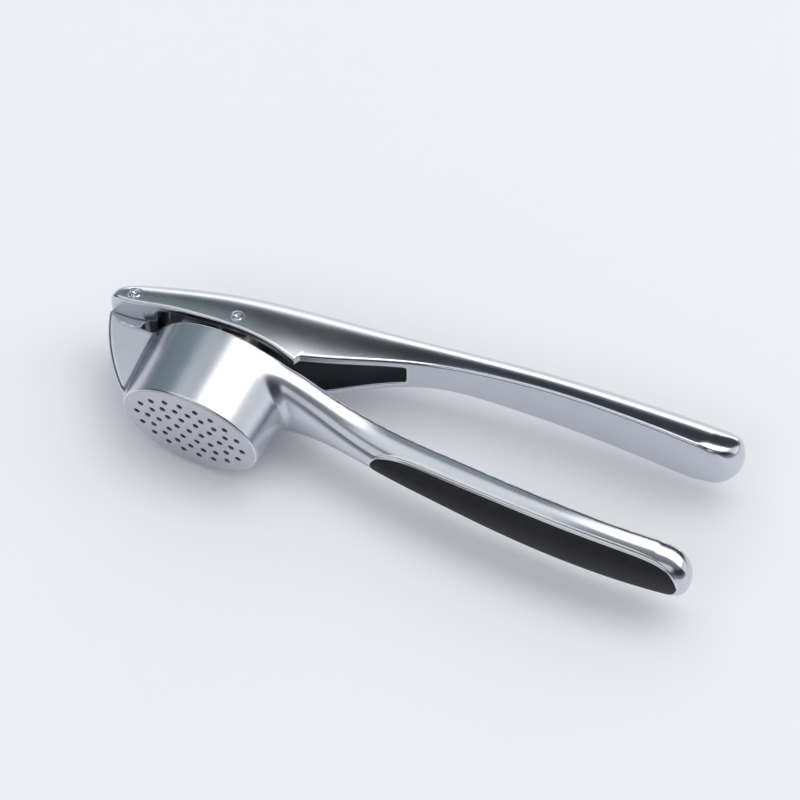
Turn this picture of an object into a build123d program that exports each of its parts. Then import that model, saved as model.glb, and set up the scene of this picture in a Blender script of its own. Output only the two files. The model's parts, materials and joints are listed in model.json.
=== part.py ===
from build123d import *
import os
from math import cos, hypot, pi, sin

# Garlic press, millimetres. The press lies on its side: Z runs along the pins, X along
# the handles and Y from the sieve towards the mouth of the chamber and the upper arm.
# The shapes are drawn about the centre of the sieve plate's outer face, on the middle
# plane, and moved to the row frame at the end.

# chamber and sieve, all ovals with their long axis along X
CHAMBER_HEIGHT = 24.6
PLATE_THICKNESS = 2.2
WALL = 2.0
CHAMBER_FOOT = (21.0, 15.7)  # outer half axes at the sieve
CHAMBER_RIM = (22.7, 17.3)  # outer half axes at the mouth
HOLE_DIAMETER = 1.7
HOLE_RINGS = ((16.6, 10.7, 18), (13.1, 7.5, 16), (9.5, 4.05, 10))  # half axes, holes
HOLE_ROW = (-3.85, 0.0, 3.85)  # the three holes in the middle

# hinge between the arms, and the pivot that carries the plunger
HINGE = (-31.3, 28.8)
HINGE_PIN_DIAMETER = 3.4
PLUNGER_PIVOT = (-1.2, 33.8)
PLUNGER_PIN_DIAMETER = 3.0
PIN_HALF_LENGTH = 11.9
PIN_END_ROUNDING = 0.7
RUNNING_CLEARANCE = 0.05
PIN_SEAT_GAP = 0.25  # round each pin end, in its shallow spot face
PIN_SEAT_LEVEL = 11.3

# tongue of the lower arm and the clevis that straddles it
TONGUE_HALF = 4.0
TONGUE_EYE_RADIUS = 5.2
CLEVIS_GAP = 0.2
CLEVIS_EYE_ROOM = 5.7
CLEVIS_ROOF_FRONT = -33.0

# upper arm: x, back, half width, squareness of the arch (2 is an ellipse)
UPPER_STATIONS = (
    (-40.0, 33.2, 12.3, 2.8),
    (-24.0, 38.9, 12.5, 3.0),
    (-6.0, 44.6, 12.5, 3.0),
    (12.0, 48.8, 11.8, 2.7),
    (27.0, 51.8, 9.3, 2.4),
    (40.0, 54.0, 7.0, 2.2),
    (54.0, 56.2, 5.8, 2.1),
    (72.0, 58.5, 6.6, 2.1),
    (92.0, 60.4, 7.8, 2.1),
    (112.0, 61.7, 8.4, 2.1),
    (132.0, 62.4, 8.6, 2.2),
    (148.0, 62.6, 8.6, 2.2),
)
# x of the tip, length of its rounding from the side, length of its rounding from above
UPPER_END = (145.8, 13.5, 11.5)
UPPER_TIP_SIDES = (49.8, 62.9)  # flat side and back where the tip's rounding begins
# the head's front from the side: the slope of its upper front corner
HEAD_FRONT = ((-37.7, 27.5), (-37.2, 30.0), (-34.4, 33.6), (-29.5, 36.6), (-24.0, 39.2))
ARCH_DEPTH_BELOW = 3.0  # how far the arch is drawn below the inner line before the cut
# inner line of the upper arm: wall edges over the chamber, then the flat of the handle
HEAD_EDGE = (
    (-40.0, 25.2),
    (-31.0, 25.4),
    (-22.7, 27.3),
    (-10.7, 29.1),
    (1.6, 29.9),
    (12.0, 29.1),
    (19.4, 27.6),
)
THROAT_EDGE = (
    (20.4, 29.6),
    (28.0, 33.4),
    (38.0, 38.7),
    (47.0, 42.9),
    (59.2, 46.7),
    (73.7, 48.9),
)
HANDLE_EDGE = (
    (88.6, 50.2),
    (103.7, 50.7),
    (118.9, 50.6),
    (131.1, 50.3),
    (138.7, 50.9),
    (150.0, 53.5),
)
HEAD_WALL = 2.6
HEAD_CAVITY = (-24.0, 47.0)
CAVITY_SQUARENESS = 1.5  # added to the squareness of the arch outside it

# lower arm behind the chamber: x, inner flat, back, half width, squareness
LOWER_STATIONS = (
    (14.0, 24.6, 15.3, 13.0, 2.6),
    (23.0, 24.5, 15.1, 11.0, 2.5),
    (32.0, 23.5, 14.4, 8.4, 2.3),
    (43.0, 22.3, 12.6, 6.4, 2.2),
    (56.0, 20.9, 10.5, 5.9, 2.1),
    (72.0, 19.6, 8.9, 6.6, 2.1),
    (88.0, 18.3, 7.7, 7.6, 2.1),
    (104.0, 17.5, 7.1, 8.3, 2.1),
    (120.0, 17.4, 7.3, 8.4, 2.1),
    (134.0, 18.3, 8.4, 8.2, 2.2),
    (149.0, 19.9, 10.4, 8.0, 2.2),
)
LOWER_END = (147.0, 11.5, 11.5)  # as for the upper arm
LOWER_TIP_SIDES = (20.4, 7.6)
TIP_HALF_WIDTH = 8.7
# web in front of the chamber: outer edge from the shoulder down to the sieve
WEB_EDGE = (
    (-38.3, 25.2),
    (-37.8, 23.6),
    (-35.4, 18.5),
    (-31.2, 12.0),
    (-25.6, 5.5),
    (-20.6, 1.4),
)
WEB_TOP = 24.0
WEB_INSIDE = -19.0  # x at which the web ends inside the chamber's wall
WEB_SHOULDER = (-27.0, -29.0)  # x at which the web's top begins to rise, x where it has risen
TONGUE_FRONT = ((-36.6, 30.6), (-37.9, 27.4))  # the web's outer edge, on up round the eye

# grip inlay in the back of the lower arm: x, half width
GRIP_OUTLINE = (
    (50.2, 0.0),
    (50.7, 1.8),
    (52.6, 3.5),
    (59.0, 4.9),
    (73.0, 5.8),
    (88.0, 6.7),
    (104.0, 7.3),
    (120.0, 7.4),
    (132.0, 7.1),
    (138.6, 6.1),
    (142.3, 3.8),
    (143.8, 0.0),
)
GRIP_DEPTH = 1.8

# plunger: foot, tower with an oval section, round eye on the pin
FOOT_HALF = (16.2, 13.2)
FOOT_THICKNESS = 3.0
FOOT_SHIFT = 0.5  # the foot's centre, along X from the pin
PLUNGER_LENGTH = 27.6  # pin axis to the pressing face
NECK_HALF = (6.0, 8.6)
SHOULDER_HALF = (11.0, 8.8)
SHOULDER_DROP = 13.0  # below the pin
TOWER_INSET = (1.5, 2.0)  # from the foot's edge to the tower, along X and along Z
NECK_DROP = 2.0  # below the pin, where the tower reaches its narrowest oval
NECK_DEPTH = 8.0
PLUNGER_EYE_RADIUS = 5.4

# place of the row frame's origin in the drawing frame, under the middle of the box
ORIGIN = (54.35, 31.245, -17.3)

ARCH_POINTS = 13
OVAL_STEPS = 720
# sizes of cutting blocks that only have to be larger than the press
WIDE = 40.0
LONG = 200.0
TOP_OF_ALL = 70.0


def level(y):
    """The plane at height y over the sieve, with local x along X and local y along Z."""
    return Plane.XZ.offset(-y)


def across(x):
    """The plane across the arms at x, with local x along Y and local y along Z."""
    return Plane(origin=(x, 0, 0), x_dir=(0, 1, 0), z_dir=(1, 0, 0))


def oval(half_axes, y):
    return level(y) * Ellipse(*half_axes)


def through_z(face_edges, half=WIDE):
    """A closed outline in the XY plane, as a block from -half to +half along Z."""
    face = make_face(Plane.XY.offset(-half) * face_edges)
    return extrude(face, amount=2 * half, dir=(0, 0, 1))


def pin_cylinder(centre, diameter, half):
    return Pos(centre[0], centre[1], 0) * Cylinder(diameter / 2, 2 * half)


def arch_section(x, inner, back, half_width, squareness):
    """A section of an arm: flat on the inner side, a superelliptic arch on the back."""
    rise = back - inner
    points = []
    for i in range(ARCH_POINTS):
        angle = pi * i / (ARCH_POINTS - 1)
        c, s = cos(angle), sin(angle)
        z = half_width * (abs(c) ** (2 / squareness)) * (1 if c > 0 else -1)
        points.append((inner + rise * s ** (2 / squareness), z))
    arch = Spline(points)
    return across(x) * make_face(arch + Line(points[-1], points[0]))


def along(table, x):
    """The value of a piecewise straight table at x."""
    for (x0, v0), (x1, v1) in zip(table, table[1:]):
        if x <= x1:
            return v0 + (v1 - v0) * (x - x0) / (x1 - x0)
    return table[-1][1]


def oval_points(half_x, half_z, count):
    """Points at equal steps along an oval, the first on the long axis."""
    angles = [2 * pi * i / OVAL_STEPS for i in range(OVAL_STEPS + 1)]
    arc = [0.0]
    for a, b in zip(angles, angles[1:]):
        step = hypot(half_x * (cos(b) - cos(a)), half_z * (sin(b) - sin(a)))
        arc.append(arc[-1] + step)
    wanted = [arc[-1] * k / count for k in range(count)]
    places = [next(a for a, s in zip(angles, arc) if s >= w) for w in wanted]
    return [(half_x * cos(a), half_z * sin(a)) for a in places]


def sieve_holes():
    centres = [(x, 0.0) for x in HOLE_ROW]
    for half_x, half_z, count in HOLE_RINGS:
        centres += oval_points(half_x, half_z, count)
    hole = Rot(90, 0, 0) * Cylinder(HOLE_DIAMETER / 2, 4 * PLATE_THICKNESS)
    return [Pos(x, 0, z) * hole for x, z in centres]


def chamber_inside():
    """The hollow of the chamber, drawn on past the rim to cut the handle's root as well."""
    foot = tuple(a - WALL for a in CHAMBER_FOOT)
    rim = tuple(a - WALL for a in CHAMBER_RIM)
    past = CHAMBER_HEIGHT / 4
    beyond = tuple(r + (r - f) / 4 for r, f in zip(rim, foot))
    hollow = loft([oval(foot, PLATE_THICKNESS), oval(rim, CHAMBER_HEIGHT)])
    return hollow + loft([oval(rim, CHAMBER_HEIGHT), oval(beyond, CHAMBER_HEIGHT + past)])


def web_and_tongue():
    edge = Spline([Vector(*p) for p in WEB_EDGE])
    top, foot = WEB_EDGE[0], WEB_EDGE[-1]
    behind = Polyline(
        foot,
        (WEB_INSIDE, foot[1]),
        (WEB_INSIDE, WEB_TOP),
        (WEB_SHOULDER[0], WEB_TOP),
        (WEB_SHOULDER[1], HINGE[1]),
        *TONGUE_FRONT,
        top,
    )
    web = through_z(edge + behind, TONGUE_HALF)
    eye = pin_cylinder(HINGE, 2 * TONGUE_EYE_RADIUS, TONGUE_HALF)
    return web + eye


def lower_handle(skin=0.0, overlap=0.0):
    """The lower handle, or with a skin the core that is left inside it."""
    sections = []
    for x, inner, back, half, square in LOWER_STATIONS:
        sections.append(arch_section(x, inner + overlap, back + skin, half - skin / 2, square))
    return loft(sections)


def grip_column():
    """What lies over the grip's outline, along Y."""
    one_side = Spline([Vector(*p) for p in GRIP_OUTLINE])
    other_side = Spline([Vector(x, -z) for x, z in reversed(GRIP_OUTLINE)])
    outline = level(WIDE) * make_face(one_side + other_side)
    return extrude(outline, amount=2 * WIDE, dir=(0, -1, 0))


def rounded_tip(end, sides):
    """What to keep of a handle: all of it up to its last stretch, then a rounded tip."""
    tip, side_length, plan_length = end
    middle = sum(sides) / 2
    half_depth = abs(sides[1] - sides[0]) / 2
    side = extrude(Ellipse(side_length, half_depth), amount=WIDE, both=True)
    plan = extrude(Plane.XZ * Ellipse(plan_length, TIP_HALF_WIDTH), amount=WIDE, both=True)
    side = Pos(tip - side_length, middle, 0) * side + everything_before(tip - side_length)
    plan = Pos(tip - plan_length, middle, 0) * plan + everything_before(tip - plan_length)
    return side & plan


def everything_before(x):
    return Pos(x - LONG / 2, WIDE, 0) * Box(LONG, 3 * WIDE, 2 * WIDE)


def lower_body(handle):
    chamber = loft([oval(CHAMBER_FOOT, 0), oval(CHAMBER_RIM, CHAMBER_HEIGHT)])
    body = chamber + handle + web_and_tongue()
    body -= chamber_inside()
    for hole in sieve_holes():
        body -= hole
    bore = HINGE_PIN_DIAMETER + 2 * RUNNING_CLEARANCE
    return body - pin_cylinder(HINGE, bore, 2 * TONGUE_HALF)


def make_lower():
    handle = lower_handle() & rounded_tip(LOWER_END, LOWER_TIP_SIDES)
    grip = (handle & grip_column()) - lower_handle(GRIP_DEPTH, 6.0)
    return lower_body(handle) - grip, grip


def upper_outline():
    """What lies above the inner line of the upper arm, as a block."""
    head = Spline([Vector(*p) for p in HEAD_EDGE])
    lip = Line(HEAD_EDGE[-1], THROAT_EDGE[0])
    flank = Spline([Vector(*p) for p in THROAT_EDGE + HANDLE_EDGE])
    last = HANDLE_EDGE[-1]
    front = HEAD_EDGE[0]
    rest = Polyline(last, (last[0], TOP_OF_ALL), (front[0], TOP_OF_ALL), front)
    return through_z(head + lip + flank + rest)


def head_front():
    """What to keep of the head: all of it under and behind its rounded front corner."""
    front = Spline([Vector(*p) for p in HEAD_FRONT])
    bottom, top = HEAD_FRONT[0], HEAD_FRONT[-1]
    rest = Polyline(top, (top[0], TOP_OF_ALL), (LONG, TOP_OF_ALL), (LONG, 0), (bottom[0], 0), bottom)
    return through_z(front + rest)


def head_cavity():
    """The hollow of the upper arm, open towards the chamber."""
    edge = HEAD_EDGE + THROAT_EDGE
    start, end = HEAD_CAVITY
    beyond = next(x for x, *_ in UPPER_STATIONS if x > end)
    sections = []
    for x, back, half, square in UPPER_STATIONS:
        if x <= beyond:
            low = along(edge, x) - 3 * HEAD_WALL
            roof = back - HEAD_WALL
            section = arch_section(x, low, roof, half - HEAD_WALL, square + CAVITY_SQUARENESS)
            sections.append(section)
    reach = Pos((start + end) / 2, WIDE, 0) * Box(end - start, 2 * WIDE, 2 * WIDE)
    return loft(sections) & reach


def clevis_slot():
    """The room for the tongue between the two cheeks of the clevis."""
    half = TONGUE_HALF + CLEVIS_GAP
    top = HINGE[1] + CLEVIS_EYE_ROOM
    under_roof = Pos(HEAD_CAVITY[0] - CLEVIS_EYE_ROOM, top / 2, 0)
    before_roof = Pos(CLEVIS_ROOF_FRONT - WIDE / 2, WIDE, 0)
    slot = pin_cylinder(HINGE, 2 * CLEVIS_EYE_ROOM, half)
    slot += under_roof * Box(4 * CLEVIS_EYE_ROOM, top, 2 * half)
    return slot + before_roof * Box(WIDE, 2 * WIDE, 2 * half)


def pin_seats(centre, diameter):
    """A pin's bore through the head, with a shallow spot face on either side."""
    seats = pin_cylinder(centre, diameter, WIDE)
    for side in (-1, 1):
        middle = Pos(*centre, side * (PIN_SEAT_LEVEL + WIDE / 2))
        seats += middle * Cylinder(diameter / 2 + PIN_SEAT_GAP, WIDE)
    return seats


def make_upper():
    edge = HEAD_EDGE + THROAT_EDGE + HANDLE_EDGE
    sections = []
    for x, back, half, square in UPPER_STATIONS:
        low = along(edge, x) - ARCH_DEPTH_BELOW
        sections.append(arch_section(x, low, back, half, square))
    body = loft(sections) & upper_outline()
    body = body & rounded_tip(UPPER_END, UPPER_TIP_SIDES) & head_front()
    body -= head_cavity()
    body -= clevis_slot()
    body -= pin_seats(HINGE, HINGE_PIN_DIAMETER)
    return body - pin_seats(PLUNGER_PIVOT, PLUNGER_PIN_DIAMETER)


def make_pin(centre, diameter):
    pin = pin_cylinder(centre, diameter, PIN_HALF_LENGTH)
    ends = pin.edges().filter_by(GeomType.CIRCLE)
    return fillet(ends, PIN_END_ROUNDING)


def make_plunger():
    x, y = PLUNGER_PIVOT
    face = y - PLUNGER_LENGTH
    under_pin = Pos(x, 0, 0)
    over_foot = Pos(x + FOOT_SHIFT, 0, 0)
    root_half = tuple(f - inset for f, inset in zip(FOOT_HALF, TOWER_INSET))
    foot = over_foot * extrude(oval(FOOT_HALF, face), amount=FOOT_THICKNESS, dir=(0, 1, 0))
    root = over_foot * oval(root_half, face + FOOT_THICKNESS)
    shoulder = under_pin * oval(SHOULDER_HALF, y - SHOULDER_DROP)
    narrowest = under_pin * oval(NECK_HALF, y - NECK_DROP)
    eye = pin_cylinder(PLUNGER_PIVOT, 2 * PLUNGER_EYE_RADIUS, NECK_HALF[1])
    neck_size = (2 * PLUNGER_EYE_RADIUS - 1, NECK_DEPTH, 2 * NECK_HALF[1])
    neck = Pos(x, y - NECK_DEPTH / 2, 0) * Box(*neck_size)
    body = foot + loft([root, shoulder, narrowest]) + eye + neck
    bore = PLUNGER_PIN_DIAMETER + 2 * RUNNING_CLEARANCE
    return body - pin_cylinder(PLUNGER_PIVOT, bore, WIDE)


def main():
    lower, grip = make_lower()
    parts = {
        "lower_arm": lower,
        "upper_arm": make_upper(),
        "plunger": make_plunger(),
        "hinge_pin": make_pin(HINGE, HINGE_PIN_DIAMETER),
        "plunger_pin": make_pin(PLUNGER_PIVOT, PLUNGER_PIN_DIAMETER),
        "grip_inlay": grip,
    }
    os.makedirs("parts", exist_ok=True)
    for name, shape in parts.items():
        placed = Pos(*(-v for v in ORIGIN)) * shape
        box = placed.bounding_box()
        print(name, len(placed.solids()), [round(v, 2) for v in (*box.min, *box.max)])
        export_step(placed, f"parts/{name}.step")


main()
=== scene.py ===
import json
import math

import bpy
import numpy as np
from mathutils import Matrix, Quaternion, Vector


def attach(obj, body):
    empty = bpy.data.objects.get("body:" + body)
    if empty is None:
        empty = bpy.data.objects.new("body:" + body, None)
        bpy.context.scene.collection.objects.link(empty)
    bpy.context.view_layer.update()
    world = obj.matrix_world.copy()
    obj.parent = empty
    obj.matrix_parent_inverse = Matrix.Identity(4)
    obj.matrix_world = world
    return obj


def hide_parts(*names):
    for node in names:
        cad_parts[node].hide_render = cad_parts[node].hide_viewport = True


# The castings are built as smooth implicit shapes, in millimetres, about the centre of the
# sieve plate's outer face on the press's middle plane: x along the handles, y from the
# sieve towards the upper arm, z along the pins. A value below 0 is inside the metal.

# chamber and sieve, ovals with their long axis along x
CHAMBER_HEIGHT = 24.6
PLATE = 2.2
WALL = 2.0
FOOT = (21.0, 15.7)
RIM = (22.7, 17.3)
HOLE_DIAMETER = 1.7
HOLE_RINGS = ((16.6, 10.7, 18), (13.1, 7.5, 16), (9.5, 4.05, 10))
HOLE_ROW = (-3.85, 0.0, 3.85)
BREAK = 0.26  # rounding of the sieve's edges
EDGE = 1.1  # rounding of the edges of the handles' flats

HINGE = (-31.3, 28.8)
HINGE_PIN = 1.7
PIVOT = (-1.2, 33.8)
PIVOT_PIN = 1.5
PIN_HALF = 11.9
SEAT = (0.2, 11.3)  # gap of the spot face round a pin end, its level

# upper arm: x, line of the widest section, back, half width, squareness
UPPER = (
    (-40.0, 22.2, 33.2, 12.3, 2.8),
    (-24.0, 24.1, 38.9, 12.5, 3.0),
    (-6.0, 26.4, 44.6, 12.5, 3.0),
    (12.0, 27.5, 48.8, 11.8, 2.7),
    (27.0, 32.0, 51.8, 9.3, 2.4),
    (40.0, 38.6, 54.0, 7.0, 2.2),
    (54.0, 44.6, 56.2, 5.8, 2.1),
    (72.0, 48.0, 58.5, 6.6, 2.1),
    (92.0, 49.6, 60.4, 7.8, 2.1),
    (112.0, 50.1, 61.7, 8.4, 2.1),
    (132.0, 50.2, 62.4, 8.6, 2.2),
    (148.0, 50.4, 62.6, 8.6, 2.2),
)
HEAD_EDGE = (
    (-40.0, 25.2),
    (-31.0, 25.4),
    (-22.7, 27.3),
    (-10.7, 29.1),
    (1.6, 29.9),
    (12.0, 29.1),
    (19.4, 27.6),
)
FLANK_EDGE = (
    (20.4, 29.6),
    (28.0, 33.4),
    (38.0, 38.7),
    (47.0, 42.9),
    (59.2, 46.7),
    (73.7, 48.9),
    (88.6, 50.2),
    (103.7, 50.7),
    (118.9, 50.6),
    (131.1, 50.3),
    (140.0, 50.3),
    (150.0, 50.4),
)
LIP = (19.4, 20.4)
HEAD_FRONT = ((-37.7, 27.5), (-37.2, 30.0), (-34.4, 33.6), (-29.5, 36.6), (-24.0, 39.2))
HEAD_WALL = 2.6
CAVITY = (-24.0, 47.0)
CLEVIS_HALF = 4.2
CLEVIS_ROOM = 5.7
ROOF_FRONT = -33.0
UPPER_TIP = (145.8, 12.5, 10.5, 49.3, 62.9)  # tip, rounding lengths, flat side, back

# lower arm behind the chamber: x, flat, line of the widest section, back, half, squareness
LOWER = (
    (14.0, 24.6, 22.6, 15.3, 13.0, 2.6),
    (23.0, 24.5, 22.6, 15.1, 11.0, 2.5),
    (32.0, 23.5, 21.9, 14.4, 8.4, 2.3),
    (43.0, 22.3, 20.8, 12.6, 6.4, 2.2),
    (56.0, 20.9, 19.4, 10.5, 5.9, 2.1),
    (72.0, 19.6, 18.1, 8.9, 6.6, 2.1),
    (88.0, 18.3, 16.8, 7.7, 7.6, 2.1),
    (104.0, 17.5, 16.0, 7.1, 8.3, 2.1),
    (120.0, 17.4, 15.9, 7.3, 8.4, 2.1),
    (134.0, 18.3, 16.8, 8.4, 8.2, 2.2),
    (149.0, 19.9, 18.4, 10.4, 8.0, 2.2),
)
LOWER_TIP = (147.0, 11.5, 11.5, 20.4, 7.6)
TIP_HALF = 8.7
WEB_EDGE = (
    (-38.3, 25.2),
    (-37.8, 23.6),
    (-35.4, 18.5),
    (-31.2, 12.0),
    (-25.6, 5.5),
    (-20.6, 1.4),
)
TONGUE_HALF = 4.0
WEB_DRAFT = 0.075  # how fast the web thins from the hinge to the sieve
TONGUE_EYE = 5.2
GRIP = (
    (50.2, 0.0),
    (50.7, 1.8),
    (52.6, 3.5),
    (59.0, 4.9),
    (73.0, 5.8),
    (88.0, 6.7),
    (104.0, 7.3),
    (120.0, 7.4),
    (132.0, 7.1),
    (138.6, 6.1),
    (142.3, 3.8),
    (143.8, 0.0),
)
GRIP_RISE = 0.14  # how far the grip stands proud of the metal
LIP_WIDTH, LIP_RISE = 0.62, 0.1  # thin bead of metal round the grip

# plunger: height, half axes of the tower's oval
TOWER = ((6.2, 14.7, 11.2), (9.2, 14.7, 11.2), (20.8, 11.0, 8.8), (31.8, 6.0, 8.6), (40.0, 6.0, 8.6))
PRESS_FOOT = (16.2, 13.2, 6.2, 9.2)  # half axes, face, top
PRESS_EYE = 5.4
PRESS_SHIFT = 0.5

FILL = 0.68  # brightness of the even light on matt surfaces


# ---------------------------------------------------------------- implicit shapes


def join(a, b, blend):
    """Union of two shapes, with a fillet."""
    h = np.maximum(blend - np.abs(a - b), 0) / blend
    return np.minimum(a, b) - h * h * blend / 4


def keep(a, b, blend):
    """Intersection of two shapes, with a rounded edge."""
    return -join(-a, -b, blend)


def cut(a, b, blend):
    """The first shape without the second, with a rounded edge."""
    return -join(-a, b, blend)


def curve(table, column=1):
    """A natural cubic spline through one column of a table, held beyond its ends."""
    xs = np.array([row[0] for row in table], float)
    ys = np.array([row[column] for row in table], float)
    n = len(xs)
    h = np.diff(xs)
    matrix = np.eye(n)
    right = np.zeros(n)
    for i in range(1, n - 1):
        matrix[i, i - 1 : i + 2] = (h[i - 1], 2 * (h[i - 1] + h[i]), h[i])
        right[i] = 6 * ((ys[i + 1] - ys[i]) / h[i] - (ys[i] - ys[i - 1]) / h[i - 1])
    bend = np.linalg.solve(matrix, right)

    def at(x):
        x = np.clip(x, xs[0], xs[-1])
        i = np.clip(np.searchsorted(xs, x) - 1, 0, n - 2)
        t, s, w = x - xs[i], xs[i + 1] - x, h[i]
        cubic = (bend[i] * s**3 + bend[i + 1] * t**3) / (6 * w)
        before = (ys[i] / w - bend[i] * w / 6) * s
        after = (ys[i + 1] / w - bend[i + 1] * w / 6) * t
        return cubic + before + after

    return at


def above(line, x, y):
    """Distance outside the region above a line y = line(x)."""
    slope = (line(x + 0.05) - line(x - 0.05)) / 0.1
    return (line(x) - y) / np.sqrt(1 + slope**2)


def smooth_path(points, steps=8):
    """Points along a smooth path through the given ones."""
    t = np.arange(len(points), dtype=float)
    u = np.linspace(0, t[-1], steps * (len(points) - 1) + 1)
    rows = [(a, p[0], p[1]) for a, p in zip(t, points)]
    return list(zip(curve(rows, 1)(u), curve(rows, 2)(u)))


def outline(points, x, y):
    """Signed distance to a closed outline."""
    x, y = np.broadcast_arrays(x, y)
    near = np.full(x.shape, 1e9)
    inside = np.zeros(x.shape, bool)
    for (x0, y0), (x1, y1) in zip(points, points[1:] + points[:1]):
        dx, dy = x1 - x0, y1 - y0
        size = dx * dx + dy * dy
        if size < 1e-12:
            continue
        t = np.clip(((x - x0) * dx + (y - y0) * dy) / size, 0, 1)
        near = np.minimum(near, (x - x0 - t * dx) ** 2 + (y - y0 - t * dy) ** 2)
        if dy:
            crossing = (y0 > y) != (y1 > y)
            inside ^= crossing & (x < (y - y0) * dx / dy + x0)
    return np.where(inside, -1, 1) * np.sqrt(near)


def oval(x, z, half_x, half_z):
    """Distance from an oval, close to it."""
    e = np.sqrt((x / half_x) ** 2 + (z / half_z) ** 2) + 1e-6
    g = np.sqrt((x / half_x**2) ** 2 + (z / half_z**2) ** 2) / e + 1e-6
    return (e - 1) / g


def round_bar(x, y, centre, radius):
    return np.hypot(x - centre[0], y - centre[1]) - radius


def arch(y, z, base, back, half, square):
    """An arch from its widest line, base, to its crest, back; below base it narrows slowly."""
    u = (y - base) / (back - base)
    slow = np.where(u < 0, 0.45, 1.0)
    u = np.abs(u) * slow
    w = np.abs(z) / half
    f = (u**square + w**square) ** (1 / square) + 1e-4
    gy = (u / f) ** (square - 1) * slow / np.abs(back - base)
    gz = (w / f) ** (square - 1) / half
    return (f - 1) / (np.sqrt(gy**2 + gz**2) + 1e-6)


def tip(x, y, z, end):
    """The rounded end of a handle, from the side and from above."""
    last, side_length, plan_length, flat, back = end
    middle, deep = (flat + back) / 2, abs(back - flat) / 2
    sx = x - (last - side_length)
    straight_side = np.abs(y - middle) - deep + 0.6 * sx
    side = np.where(sx > 0, oval(sx, y - middle, side_length, deep), straight_side)
    px = x - (last - plan_length)
    straight_plan = np.abs(z) - TIP_HALF + 0.6 * px
    plan = np.where(px > 0, oval(px, z, plan_length, TIP_HALF), straight_plan)
    return keep(side, plan, 4.0)


UPPER_CURVES = [curve(UPPER, i) for i in (1, 2, 3, 4)]
LOWER_CURVES = [curve(LOWER, i) for i in (1, 2, 3, 4, 5)]
HEAD_LINE, FLANK_LINE = curve(HEAD_EDGE), curve(FLANK_EDGE)


def inner_line(x):
    """The upper arm's edge over the chamber, the step at its lip, then the flat's line."""
    t = np.clip((x - LIP[0]) / (LIP[1] - LIP[0]), 0, 1)
    return (1 - t) * HEAD_LINE(x) + t * FLANK_LINE(x)


FRONT_PATH = smooth_path(HEAD_FRONT)
FRONT_SHAPE = FRONT_PATH + [(-24.0, 90.0), (200.0, 90.0), (200.0, -20.0), (-37.7, -20.0)]
WEB_PATH = smooth_path(WEB_EDGE)
WEB_TOP = [(-37.9, 27.4), (-36.6, 30.6)]
WEB_BACK = [(-19.0, 1.4), (-19.0, 24.0), (-27.0, 24.0), (-29.0, 29.0)]
WEB_SHAPE = WEB_TOP + WEB_PATH + WEB_BACK
GRIP_PATH = smooth_path(GRIP, 24)
GRIP_SHAPE = GRIP_PATH + [(x, -z) for x, z in reversed(GRIP_PATH[1:-1])]


def upper_casting(x, y, z):
    base, back, half, square = (c(x) for c in UPPER_CURVES)
    body = arch(y, z, base, back, half, square)
    body = keep(body, outline(FRONT_SHAPE, x, y), 3.0)
    body = keep(body, tip(x, y, z, UPPER_TIP), 1.5)
    body = keep(body, above(inner_line, x, y), EDGE)
    hollow = arch(y, z, base - 6, back - HEAD_WALL, np.maximum(half - HEAD_WALL, 1), square + 1.5)
    hollow = keep(hollow, np.maximum(CAVITY[0] - x, x - CAVITY[1]), np.where(x < 10, 3.0, 1.3))
    body = cut(body, hollow, 0.7)
    room = np.maximum(y - HINGE[1] - CLEVIS_ROOM, x + 18.3)
    slot = np.minimum(round_bar(x, y, HINGE, CLEVIS_ROOM), room)
    slot = np.minimum(slot, x - ROOF_FRONT)
    slot = np.maximum(slot, np.abs(z) - CLEVIS_HALF)
    body = cut(body, slot, 0.6)
    for centre, radius in ((HINGE, HINGE_PIN), (PIVOT, PIVOT_PIN)):
        seat = np.maximum(round_bar(x, y, centre, radius + SEAT[0]), SEAT[1] - np.abs(z))
        body = cut(body, np.minimum(seat, round_bar(x, y, centre, radius - 0.2)), 0.25)
    return body


def lower_handle(x, y, z):
    flat, base, back, half, square = (c(x) for c in LOWER_CURVES)
    bar = arch(y, z, base, back, half, square)
    return keep(bar, y - flat, EDGE)


def chamber_walls(y, inset=0.0):
    t = y / CHAMBER_HEIGHT
    return [f + (r - f) * t - inset for f, r in zip(FOOT, RIM)]


def lower_casting(x, y, z):
    chamber = oval(x, z, *chamber_walls(y))
    chamber = keep(chamber, np.maximum(y - CHAMBER_HEIGHT, 0.12 - y), 0.7)
    handle = np.maximum(handle_back(x, y, z), 13.0 - x)
    web = outline(WEB_SHAPE, x, y) + 0 * z
    web = keep(web, np.abs(z) - TONGUE_HALF + WEB_DRAFT * np.clip(24 - y, 0, 30), 1.2)
    eye = keep(round_bar(x, y, HINGE, TONGUE_EYE), np.abs(z) - TONGUE_HALF, 0.6)
    web = np.maximum(join(web, eye, 1.0), np.abs(z) - TONGUE_HALF)
    body = join(chamber, handle, 2.4)
    body = join(body, web, 2.2)
    body = keep(body, y - CHAMBER_HEIGHT - np.where(x < -21, 60, 0.0), 0.5)
    hollow = np.maximum(oval(x, z, *chamber_walls(y, WALL)), PLATE - y)
    body = cut(body, hollow, 0.6)
    body = cut(body, np.maximum(oval(x, z, 18.3, 12.9), y - 2 * PLATE), 0.2)
    body = np.maximum(body, HINGE_PIN + 0.05 - np.hypot(x - HINGE[0], y - HINGE[1]))
    return body


def handle_back(x, y, z):
    """The lower handle with its rounded tip."""
    return keep(lower_handle(x, y, z), tip(x, y, z, LOWER_TIP), 1.5)


TOWER_CURVES = [curve(TOWER, 1), curve(TOWER, 2)]


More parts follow.
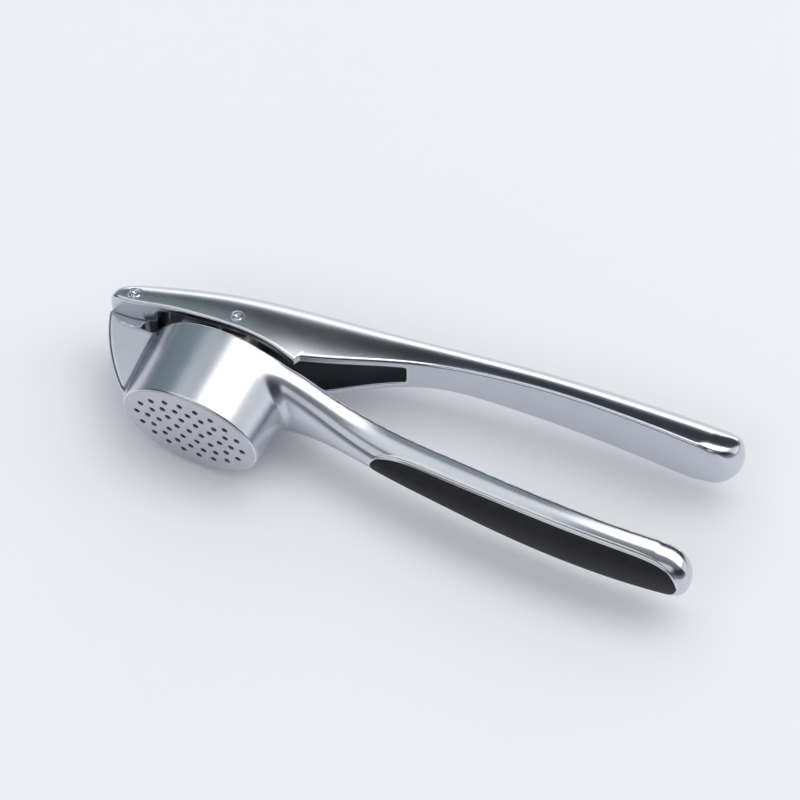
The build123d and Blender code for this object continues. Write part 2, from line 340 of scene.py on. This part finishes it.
def plunger_casting(x, y, z):
    half_x, half_z, face, top = PRESS_FOOT
    sx = x - PIVOT[0]
    foot = oval(sx - PRESS_SHIFT, z, half_x, half_z)
    foot = keep(foot, np.maximum(face - y, y - top), 0.5)
    tower = oval(sx, z, TOWER_CURVES[0](y), TOWER_CURVES[1](y))
    tower = keep(tower, np.maximum(y - PIVOT[1], face + 0.3 - y), 0.6)
    eye = keep(round_bar(x, y, PIVOT, PRESS_EYE), np.abs(z) - 8.6, 0.6)
    body = join(join(foot, tower, 1.2), eye, 1.2)
    return np.maximum(body, PIVOT_PIN + 0.05 - np.hypot(x - PIVOT[0], y - PIVOT[1]))


# ---------------------------------------------------------------- meshes from shapes


def slope(shape, p, h=0.04):
    """Value and gradient of a shape at points."""
    value = shape(p[:, 0], p[:, 1], p[:, 2])
    g = np.empty_like(p)
    for axis in range(3):
        step = np.zeros(3)
        step[axis] = h
        a, b = p + step, p - step
        g[:, axis] = (shape(a[:, 0], a[:, 1], a[:, 2]) - shape(b[:, 0], b[:, 1], b[:, 2])) / (2 * h)
    return value, g


def skin_of(shape, low, high, grid):
    """Points and quads of a shape's surface, by surface nets."""
    axes = [np.arange(a - 1.5 * grid, b + 2.5 * grid, grid) for a, b in zip(low, high)]
    x, y, z = (v.reshape([-1 if i == k else 1 for i in range(3)]) for k, v in enumerate(axes))
    f = shape(x, y, z) + 0 * (x + y + z)
    inside = f < 0
    total = np.zeros([n - 1 for n in f.shape] + [3])
    count = np.zeros(total.shape[:3])
    quads = []
    index = np.arange(count.size).reshape(count.shape)
    for axis in range(3):
        a = np.take(f, range(f.shape[axis] - 1), axis)
        b = np.take(f, range(1, f.shape[axis]), axis)
        cross = (a < 0) != (b < 0)
        cells = np.argwhere(cross)
        t = a[cross] / (a[cross] - b[cross])
        spot = cells.astype(float)
        spot[:, axis] += t
        first, second = [k for k in range(3) if k != axis]
        corner = []
        for d1, d2 in ((-1, -1), (0, -1), (0, 0), (-1, 0)):
            cell = cells.copy()
            cell[:, first] += d1
            cell[:, second] += d2
            np.add.at(total, tuple(cell.T), spot)
            np.add.at(count, tuple(cell.T), 1)
            corner.append(index[tuple(cell.T)])
        flip = inside[tuple(cells.T)] != (axis == 1)
        quad = np.stack(corner, 1)
        quads.append(np.where(flip[:, None], quad, quad[:, ::-1]))
    used = count > 0
    number = -np.ones(count.size, int)
    number[index[used]] = np.arange(used.sum())
    points = total[used] / count[used][:, None]
    points = np.array([a[0] for a in axes]) + points * grid
    return points, number[np.concatenate(quads)]


PRESS = None  # the sieve's centre in the frame, metres; set once the frame is loaded


def placed(points):
    return np.asarray(points) / 1000 + PRESS


def mesh_object(name, points, faces, normals=None):
    mesh = bpy.data.meshes.new(name)
    mesh.from_pydata(placed(points).tolist(), [], faces.tolist() if hasattr(faces, "tolist") else faces)
    mesh.validate()
    mesh.shade_smooth()
    if normals is not None and len(mesh.vertices) == len(points):
        mesh.normals_split_custom_set_from_vertices(normals.tolist())
    obj = bpy.data.objects.new(name, mesh)
    bpy.context.scene.collection.objects.link(obj)
    return obj


def cast(name, shape, low, high, grid):
    """A casting as one closed mesh with the shape's own normals."""
    points, quads = skin_of(shape, low, high, grid)
    home = points.copy()
    for _ in range(3):
        value, g = slope(shape, points)
        size = np.maximum((g * g).sum(1), 0.05)
        move = np.clip(value / size, -0.3, 0.3)[:, None] * g
        points = points - move
    points = home + np.clip(points - home, -grid, grid)
    _, g = slope(shape, points, 0.12)
    normals = g / np.maximum(np.linalg.norm(g, axis=1), 1e-6)[:, None]
    obj = mesh_object(name, points, quads, normals)
    # the convexity is stored as the mask of a painted highlight on convex edges
    if len(obj.data.vertices) == len(points):
        painted_edge_highlight = obj.data.attributes.new("painted_edge_highlight", "FLOAT", "POINT")
        painted_edge_highlight.data.foreach_set("value", convexity(shape, points).astype(np.float32))
    return obj


def convexity(shape, p, h=0.5):
    """How sharply the surface turns outward, from 0 on flats to 1 on edges."""
    total = -6 * shape(p[:, 0], p[:, 1], p[:, 2])
    for axis in range(3):
        for side in (-h, h):
            q = p.copy()
            q[:, axis] += side
            total += shape(q[:, 0], q[:, 1], q[:, 2])
    return np.clip((total / h**2 - 0.35) / 0.9, 0, 1)


def ring_points(half_x, half_z, count):
    """Points at equal steps along an oval, the first on its long axis."""
    a = np.linspace(0, 2 * math.pi, 721)
    px, pz = half_x * np.cos(a), half_z * np.sin(a)
    arc = np.concatenate([[0], np.cumsum(np.hypot(np.diff(px), np.diff(pz)))])
    at = np.interp(np.arange(count) * arc[-1] / count, arc, a)
    return [(half_x * math.cos(v), half_z * math.sin(v)) for v in at]


def on_handle(x, z, rise):
    """Points over the back of the lower handle, a little above or below its surface."""
    base, back, half, square = (c(x) for c in LOWER_CURVES[1:])
    w = np.clip(np.abs(z) / half, 0, 0.995)
    y = base + (back - base) * (1 - w**square) ** (1 / square)
    for _ in range(12):
        value = handle_back(x, y, z)
        fall = (handle_back(x, y + 0.02, z) - handle_back(x, y - 0.02, z)) / 0.04
        y = y - np.clip(value / np.minimum(fall, -0.15), -0.6, 0.6)
    points = np.stack([x, y, z], -1)
    flat = points.reshape(-1, 3)
    _, g = slope(handle_back, flat)
    g /= np.maximum(np.linalg.norm(g, axis=1), 1e-6)[:, None]
    return flat + g * np.asarray(rise).reshape(-1, 1)


def grid_faces(rows, columns, closed=False):
    """Quads of a grid of points, whose last row may join the first."""
    faces = []
    for i in range(rows - 1 + closed):
        for j in range(columns - 1):
            a, b = i * columns, (i + 1) % rows * columns
            faces.append((a + j, a + j + 1, b + j + 1, b + j))
    return faces


def grip_cover(name):
    """The rubber grip: it follows the handle's back and rolls down into the metal at its rim."""
    rows, columns = 420, 49
    turn = np.linspace(0, math.pi, rows)
    first, last = GRIP[0][0], GRIP[-1][0]
    x = (first + last) / 2 - (last - first) / 2 * np.cos(turn)
    px = np.array([p[0] for p in GRIP_PATH])
    pz = np.array([p[1] for p in GRIP_PATH])
    reach = np.interp(x, px, pz)
    across = np.sin(np.linspace(-math.pi / 2, math.pi / 2, columns))
    gx = np.repeat(x[:, None], columns, 1)
    gz = reach[:, None] * across[None, :]
    depth = np.maximum(-outline(GRIP_SHAPE, gx, gz), 0)
    rise = GRIP_RISE - 0.75 * np.exp(-depth / 0.28)
    return mesh_object(name, on_handle(gx, gz, rise), grid_faces(rows, columns))


def grip_lip(name):
    """A thin rounded bead of metal along the grip's rim."""
    path = np.array(GRIP_SHAPE)
    ahead = np.roll(path, -1, 0) - np.roll(path, 1, 0)
    out = np.stack([-ahead[:, 1], ahead[:, 0]], 1)
    out /= np.linalg.norm(out, axis=1)[:, None]
    u = np.linspace(0, 1, 11)
    offset = (u - 0.45) * LIP_WIDTH
    gx = path[:, :1] + out[:, :1] * offset
    gz = path[:, 1:] + out[:, 1:] * offset
    rise = np.broadcast_to(LIP_RISE * np.sin(math.pi * u) ** 0.7 - 0.04, gx.shape)
    return mesh_object(name, on_handle(gx, gz, rise), grid_faces(len(path), len(u), True))


def loop(cx, cz, half_x, half_z, count):
    """Points round an oval at equal angles."""
    turns = np.linspace(0, 2 * math.pi, count + 1)[:-1]
    return [(cx + half_x * math.cos(a), cz + half_z * math.sin(a)) for a in turns]


def sieve_plate(name):
    """The sieve: a flat oval plate with rounded edges and small holes with broken edges."""
    data = bpy.data.curves.new(name + "_outline", "CURVE")
    data.dimensions = "2D"
    data.fill_mode = "BOTH"
    data.extrude = (PLATE / 2 - BREAK) / 1000
    data.bevel_depth = BREAK / 1000
    data.bevel_resolution = 3
    rims = [loop(0, 0, FOOT[0] - 0.6, FOOT[1] - 0.6, 180)]
    centres = [(x, 0.0) for x in HOLE_ROW]
    for ring in HOLE_RINGS:
        centres += ring_points(*ring)
    radius = HOLE_DIAMETER / 2 + BREAK
    for cx, cz in centres:
        rims.append(loop(cx, cz, radius, radius, 32))
    for rim in rims:
        spline = data.splines.new("POLY")
        spline.points.add(len(rim) - 1)
        for point, (px, pz) in zip(spline.points, rim):
            point.co = (px / 1000, pz / 1000, 0, 1)
        spline.use_cyclic_u = True
    flat = bpy.data.objects.new(name + "_flat", data)
    mesh = bpy.data.meshes.new_from_object(flat)
    bpy.data.objects.remove(flat)
    mesh.name = name
    n = len(mesh.vertices)
    co = np.empty(n * 3)
    mesh.vertices.foreach_get("co", co)
    co = co.reshape(-1, 3)
    turned = np.stack([co[:, 0], co[:, 2] + PLATE / 2000, co[:, 1]], 1) + PRESS
    mesh.vertices.foreach_set("co", turned.ravel())
    mesh.flip_normals()
    mesh.update()
    mesh.shade_smooth()
    mesh.set_sharp_from_angle(angle=math.radians(50))
    obj = bpy.data.objects.new(name, mesh)
    bpy.context.scene.collection.objects.link(obj)
    return obj


def pin_piece(name, centre, radius):
    """A riveted pin: round head edges and a shallow dimple in each end."""
    side = [(0.0, 0.35), (0.28, 0.3), (0.42, 0.08), (0.6, 0.0), (0.8, 0.06), (0.93, 0.2), (1.0, 0.45)]
    half = [(r * radius, PIN_HALF - d) for r, d in side]
    profile = half + [(r, -z) for r, z in reversed(half)]
    turns = 48
    points = [(centre[0], centre[1], half[0][1]), (centre[0], centre[1], -half[0][1])]
    for r, z in profile[1:-1]:
        for k in range(turns):
            a = 2 * math.pi * k / turns
            points.append((centre[0] + r * math.cos(a), centre[1] + r * math.sin(a), z))
    rows = len(profile) - 2
    faces = []
    for k in range(turns):
        m = (k + 1) % turns
        faces.append((0, 2 + k, 2 + m))
        last = 2 + (rows - 1) * turns
        faces.append((1, last + m, last + k))
        for i in range(rows - 1):
            a, b = 2 + i * turns, 2 + (i + 1) * turns
            faces.append((a + k, b + k, b + m, a + m))
    obj = mesh_object(name, points, faces)
    obj.data.set_sharp_from_angle(angle=math.radians(60))
    return obj


# ---------------------------------------------------------------- materials


def new_material(name):
    m = bpy.data.materials.new(name)
    m.use_nodes = True
    tree = m.node_tree
    return m, tree, tree.nodes["Principled BSDF"]


def add(tree, kind, **inputs):
    node = tree.nodes.new(kind)
    for key, value in inputs.items():
        node.inputs[key.replace("_", " ")].default_value = value
    return node


def ramp(tree, source, stops):
    """Map a factor to colours or greys."""
    node = tree.nodes.new("ShaderNodeValToRGB")
    tree.links.new(source, node.inputs["Fac"])
    while len(node.color_ramp.elements) < len(stops):
        node.color_ramp.elements.new(0.5)
    for element, (place, colour) in zip(node.color_ramp.elements, stops):
        element.position = place
        element.color = colour if len(colour) == 4 else (*colour, 1)
    return node.outputs["Color"]


def grey(v):
    return (v, v, v)


def noise(tree, scale, detail=3.0, stretch=(1, 1, 1)):
    place = tree.nodes.new("ShaderNodeTexCoord")
    mapping = tree.nodes.new("ShaderNodeMapping")
    mapping.inputs["Scale"].default_value = stretch
    tree.links.new(place.outputs["Object"], mapping.inputs["Vector"])
    node = add(tree, "ShaderNodeTexNoise", Scale=scale, Detail=detail, Roughness=0.6)
    tree.links.new(mapping.outputs["Vector"], node.inputs["Vector"])
    return node.outputs["Fac"]


def bump(tree, layers, normal_input):
    """Stack bump layers (height source, strength, distance in metres) onto the shader."""
    last = None
    for height, strength, distance in layers:
        node = add(tree, "ShaderNodeBump", Strength=strength, Distance=distance)
        tree.links.new(height, node.inputs["Height"])
        if last is not None:
            tree.links.new(last, node.inputs["Normal"])
        last = node.outputs["Normal"]
    tree.links.new(last, normal_input)


def metal(name, colour, roughness, grain=0.03, wave=0.04, spread=0.015, polish=0.0):
    """Satin plated casting, a little smoother along the handles, with a painted highlight that makes
    its convex edges lighter.
    """
    m, tree, shader = new_material(name)
    shader.inputs["Metallic"].default_value = 1.0
    tone = noise(tree, 55, 4)
    # mask of the painted edge highlight, from the casting's convexity
    edge = tree.nodes.new("ShaderNodeAttribute")
    edge.attribute_name = "painted_edge_highlight"
    edge_highlight_mask = edge.outputs["Fac"]
    darker = tuple(c * 0.96 for c in colour)
    lighter = tuple(min(1, c * 1.03) for c in colour)
    body = ramp(tree, tone, [(0.3, darker), (0.7, lighter)])
    # painted highlight: where the mask is 1 the base colour is 16% lighter, so convex edges look lit
    mix = tree.nodes.new("ShaderNodeMix")
    mix.data_type = "RGBA"
    tree.links.new(edge_highlight_mask, mix.inputs["Factor"])
    tree.links.new(body, mix.inputs["A"])
    mix.inputs["B"].default_value = (*(min(1, c * 1.16) for c in colour), 1)
    tree.links.new(mix.outputs["Result"], shader.inputs["Base Color"])
    patches = noise(tree, 160, 5, (0.35, 1, 1))
    stops = [(0.3, grey(roughness - spread)), (0.7, grey(roughness + spread))]
    satin = ramp(tree, patches, stops)
    place = tree.nodes.new("ShaderNodeTexCoord")
    split = tree.nodes.new("ShaderNodeSeparateXYZ")
    tree.links.new(place.outputs["Object"], split.inputs["Vector"])
    handled = add(tree, "ShaderNodeMapRange", From_Min=-0.035, From_Max=0.01, To_Max=polish)
    tree.links.new(split.outputs["X"], handled.inputs["Value"])
    less = tree.nodes.new("ShaderNodeMath")
    less.operation = "SUBTRACT"
    tree.links.new(satin, less.inputs[0])
    tree.links.new(handled.outputs["Result"], less.inputs[1])
    tree.links.new(less.outputs["Value"], shader.inputs["Roughness"])
    fine = noise(tree, 2600, 2)
    slow = noise(tree, 70, 2, (0.5, 1, 1))
    bump(tree, [(fine, grain, 0.00002), (slow, wave, 0.00012)], shader.inputs["Normal"])
    return m


def rubber(name):
    """Matt black moulded rubber with a fine spark texture and a little dust."""
    m, tree, shader = new_material(name)
    tone = noise(tree, 300, 6)
    tree.links.new(
        ramp(tree, tone, [(0.3, (0.0055, 0.0058, 0.0068)), (0.75, (0.0105, 0.011, 0.0125))]),
        shader.inputs["Base Color"],
    )
    patches = ramp(tree, noise(tree, 800, 4), [(0.3, grey(0.5)), (0.7, grey(0.62))])
    tree.links.new(patches, shader.inputs["Roughness"])
    shader.inputs["Specular IOR Level"].default_value = 0.38
    grain = noise(tree, 3500, 3)
    broad = noise(tree, 90, 2)
    bump(tree, [(grain, 0.35, 0.00004), (broad, 0.2, 0.0001)], shader.inputs["Normal"])
    return m


def floor_material():
    m, tree, shader = new_material("studio_sweep")
    tone = noise(tree, 3, 3)
    tree.links.new(
        ramp(tree, tone, [(0.2, (0.765, 0.765, 0.80)), (0.8, (0.78, 0.78, 0.815))]),
        shader.inputs["Base Color"],
    )
    shader.inputs["Roughness"].default_value = 0.85
    shader.inputs["Specular IOR Level"].default_value = 0.15
    return m


def dress(obj, material, body, slot, *nodes):
    obj.data.materials.clear()
    obj.data.materials.append(material)
    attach(obj, body)
    if nodes:
        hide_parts(*nodes)


# ---------------------------------------------------------------- studio


def direction(azimuth, elevation):
    """Unit vector; azimuth from +y towards +x, in degrees."""
    a, e = math.radians(azimuth), math.radians(elevation)
    return Vector((math.sin(a) * math.cos(e), math.cos(a) * math.cos(e), math.sin(e)))


def softbox(name, azimuth, elevation, distance, size, radiance, colour=(1, 1, 1), roll=0):
    """A square-on area light whose face has the given brightness."""
    data = bpy.data.lights.new(name, "AREA")
    data.shape = "RECTANGLE"
    data.size, data.size_y = size
    data.energy = radiance * math.pi * size[0] * size[1]
    data.color = colour
    obj = bpy.data.objects.new(name, data)
    back = direction(azimuth, elevation)
    obj.location = back * distance
    turn = back.to_track_quat("Z", "Y") @ Quaternion((0, 0, 1), math.radians(roll))
    obj.rotation_euler = turn.to_euler()
    bpy.context.scene.collection.objects.link(obj)


def build_world():
    """A dim room as reflections see it, with a cool band round the horizon, and even fill."""
    world = bpy.data.worlds.new("studio")
    bpy.context.scene.world = world
    world.use_nodes = True
    tree = world.node_tree
    place = tree.nodes.new("ShaderNodeTexCoord")
    split = tree.nodes.new("ShaderNodeSeparateXYZ")
    tree.links.new(place.outputs["Generated"], split.inputs["Vector"])
    colour = ramp(
        tree,
        split.outputs["Z"],
        [
            (0.0, (0.27, 0.31, 0.35)),
            (0.2, (0.24, 0.28, 0.32)),
            (0.4, (0.04, 0.045, 0.055)),
            (0.74, (0.03, 0.032, 0.04)),
            (0.95, (0.25, 0.25, 0.27)),
        ],
    )
    room = tree.nodes["Background"]
    tree.links.new(colour, room.inputs["Color"])
    fill = add(tree, "ShaderNodeBackground", Color=(0.97, 0.98, 1.0, 1), Strength=FILL)
    path = tree.nodes.new("ShaderNodeLightPath")
    mix = tree.nodes.new("ShaderNodeMixShader")
    tree.links.new(path.outputs["Is Diffuse Ray"], mix.inputs["Fac"])
    tree.links.new(room.outputs["Background"], mix.inputs[1])
    tree.links.new(fill.outputs["Background"], mix.inputs[2])
    tree.links.new(mix.outputs["Shader"], tree.nodes["World Output"].inputs["Surface"])


def build_floor():
    size = 6.0
    n = 24
    steps = np.linspace(-size, size, n + 1)
    points = [(x, y, 0.0) for y in steps for x in steps]
    faces = grid_faces(n + 1, n + 1)
    mesh = bpy.data.meshes.new("floor")
    mesh.from_pydata(points, [], faces)
    floor = bpy.data.objects.new("floor", mesh)
    bpy.context.scene.collection.objects.link(floor)
    mesh.materials.append(floor_material())


def build_camera():
    data = bpy.data.cameras.new("camera")
    data.sensor_width = 36
    data.lens = 135
    data.clip_start = 0.05
    data.clip_end = 50
    camera = bpy.data.objects.new("camera", data)
    back = Vector((0.2388, -0.5105, 0.8261)).normalized()
    camera.location = Vector((-0.00525, 0.003485, 0.0173)) + back * 0.84747
    camera.rotation_euler = back.to_track_quat("Z", "Y").to_euler()
    bpy.context.scene.collection.objects.link(camera)
    bpy.context.scene.camera = camera


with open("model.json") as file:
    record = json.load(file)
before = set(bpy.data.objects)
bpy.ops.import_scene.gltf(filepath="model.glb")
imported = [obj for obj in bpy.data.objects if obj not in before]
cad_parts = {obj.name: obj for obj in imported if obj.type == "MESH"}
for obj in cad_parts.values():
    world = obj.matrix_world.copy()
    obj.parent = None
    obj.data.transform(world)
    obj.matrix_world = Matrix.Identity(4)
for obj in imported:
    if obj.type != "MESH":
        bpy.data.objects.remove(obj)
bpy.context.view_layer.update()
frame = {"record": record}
mount = frame["record"]["mounts"][0]["pos_m"]
MOUNT_SHIFT = 0.001925  # the sieve face's mount point, along x from the sieve's centre
PRESS = np.array((mount[0] - MOUNT_SHIFT, mount[1], mount[2]))

build_camera()
build_floor()
build_world()
softbox("key", 40, 68, 2.0, (1.6, 1.0), 2.35, (1.0, 0.995, 0.99), roll=40)
softbox("backdrop", -8, 6, 2.4, (2.2, 0.8), 1.9, (0.97, 0.985, 1.0))
softbox("side", 66, 28, 2.2, (1.3, 1.9), 0.85, (0.98, 0.98, 1.0))
softbox("left", -54, 40, 2.2, (1.6, 1.6), 0.26, (0.74, 0.98, 1.0))
softbox("crown", -85, 66, 2.2, (1.5, 1.2), 0.75, (0.97, 0.98, 1.0))
softbox("front", -165, 42, 2.2, (1.6, 1.3), 0.85, (0.98, 0.98, 1.0))

satin = metal("satin_chrome", (0.62, 0.645, 0.69), 0.255, polish=0.075)
face_metal = metal("sieve_satin", (0.60, 0.615, 0.65), 0.42, grain=0.3, wave=0.1)
press_metal = metal("plunger_satin", (0.56, 0.555, 0.54), 0.36, grain=0.25)
pin_metal = metal("pin_polished", (0.72, 0.72, 0.74), 0.16, grain=0.1, wave=0.1, spread=0.03)
lip_metal = metal("lip_metal", (0.70, 0.72, 0.75), 0.2)
grip_rubber = rubber("grip_rubber")

lower = cast("lower_arm_casting", lower_casting, (-39.5, -0.3, -17.6), (147.5, 34.3, 17.6), 0.45)
dress(lower, satin, "lower", "satin_metal", "lower_arm")
plate = sieve_plate("sieve")
dress(plate, face_metal, "lower", "satin_metal", "lower_arm")
dress(grip_cover("grip_cover"), grip_rubber, "lower", "soft_grip", "grip_inlay")
dress(grip_lip("grip_lip"), lip_metal, "lower", "satin_metal", "lower_arm")
upper = cast("upper_arm_casting", upper_casting, (-38.5, 24.5, -13), (146.5, 63, 13), 0.42)
dress(upper, satin, "upper", "satin_metal", "upper_arm")
press = cast("plunger_casting", plunger_casting, (-18, 5.8, -13.6), (16, 39.6, 13.6), 0.45)
dress(press, press_metal, "plunger", "plunger_metal", "plunger")
dress(pin_piece("hinge_rivet", HINGE, HINGE_PIN), pin_metal, "upper", "pin_steel", "hinge_pin")
dress(pin_piece("plunger_rivet", PIVOT, PIVOT_PIN), pin_metal, "upper", "pin_steel", "plunger_pin")

bpy.context.scene.view_settings.view_transform = "Standard"
